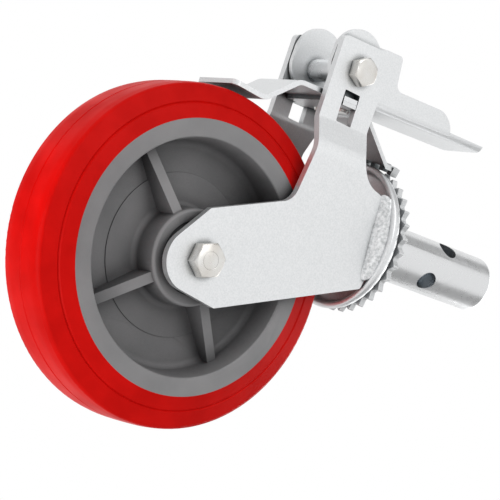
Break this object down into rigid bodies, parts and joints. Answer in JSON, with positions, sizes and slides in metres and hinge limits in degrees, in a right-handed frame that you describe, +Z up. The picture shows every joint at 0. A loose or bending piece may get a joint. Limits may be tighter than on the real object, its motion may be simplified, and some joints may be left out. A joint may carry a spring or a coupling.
{
  "type": "scaffold castor",
  "caption": "Swivel scaffold castor with a plain round stem, toothed lock ring, red tyred wheel and a pedal that locks wheel and swivel together.",
  "frame": {"origin": "on the stem's axis, at the top face of the toothed ring that the scaffold tube sits on", "axes": "+Z up along the stem; the wheel trails towards +X; the brake and its pedal are on the -X side"},
  "size_m": [0.2642, 0.0952, 0.3385],
  "materials": {
    "plated_steel": "zinc-plated sheet steel, matt grey with a faint grain",
    "plated_bolt": "bright zinc-plated bolt steel",
    "turned_steel": "turned steel bar, zinc plated",
    "bearing_steel": "ground and polished bearing steel",
    "weld": "weld metal, plated over",
    "core_plastic": "moulded grey polypropylene",
    "tread": "moulded red polyurethane, satin"
  },
  "bodies": {
    "stem": {"stem": "turned_steel", "lock_ring": "plated_steel", "lower_race": "bearing_steel", "kingpin_washer": "plated_bolt", "kingpin_nut": "plated_bolt"},
    "fork": {"fork_crown": "plated_steel", "fork_leg_back": "plated_steel", "fork_leg_front": "plated_steel", "leg_weld_back": "weld", "leg_weld_front": "weld", "upper_balls": "bearing_steel", "lower_balls": "bearing_steel", "axle_bolt": "plated_bolt", "axle_washer": "plated_bolt", "axle_nut": "plated_bolt", "axle_sleeve": "turned_steel", "axle_collars": "turned_steel", "hub_spacer": "turned_steel", "bearing_inner_rings": "bearing_steel", "bearing_balls": "bearing_steel", "lever_bolt": "plated_bolt", "lever_sleeve": "turned_steel", "lever_washer": "plated_bolt", "lever_nut": "plated_bolt"},
    "wheel": {"wheel_core": "core_plastic", "tyre": "tread", "bearing_outer_rings": "bearing_steel"},
    "lever": {"brake_lever": "plated_steel"},
    "brake_plates": {"brake_shoe": "plated_steel", "swivel_lock_plate": "plated_steel", "plate_rivets": "plated_bolt"}
  },
  "joints": [
    {"name": "swivel", "type": "hinge", "parent": "stem", "child": "fork", "pos_m": [0, 0, 0], "axis": [0, 0, 1], "continuous": true},
    {"name": "wheel_spin", "type": "hinge", "parent": "fork", "child": "wheel", "pos_m": [0.046, 0, -0.1345], "axis": [0, 1, 0], "continuous": true},
    {"name": "brake_pedal", "type": "hinge", "parent": "fork", "child": "lever", "pos_m": [-0.0923, 0, -0.0542], "axis": [0, -1, 0], "range_deg": [0, 80]},
    {"name": "plate_slide", "type": "slide", "parent": "fork", "child": "brake_plates", "axis": [1, 0, 0], "range_m": [0, 0.0024]}
  ],
  "couplings": [
    {"joint": "plate_slide", "follows": "brake_pedal", "m_per_rad": 0.0017187}
  ]
}
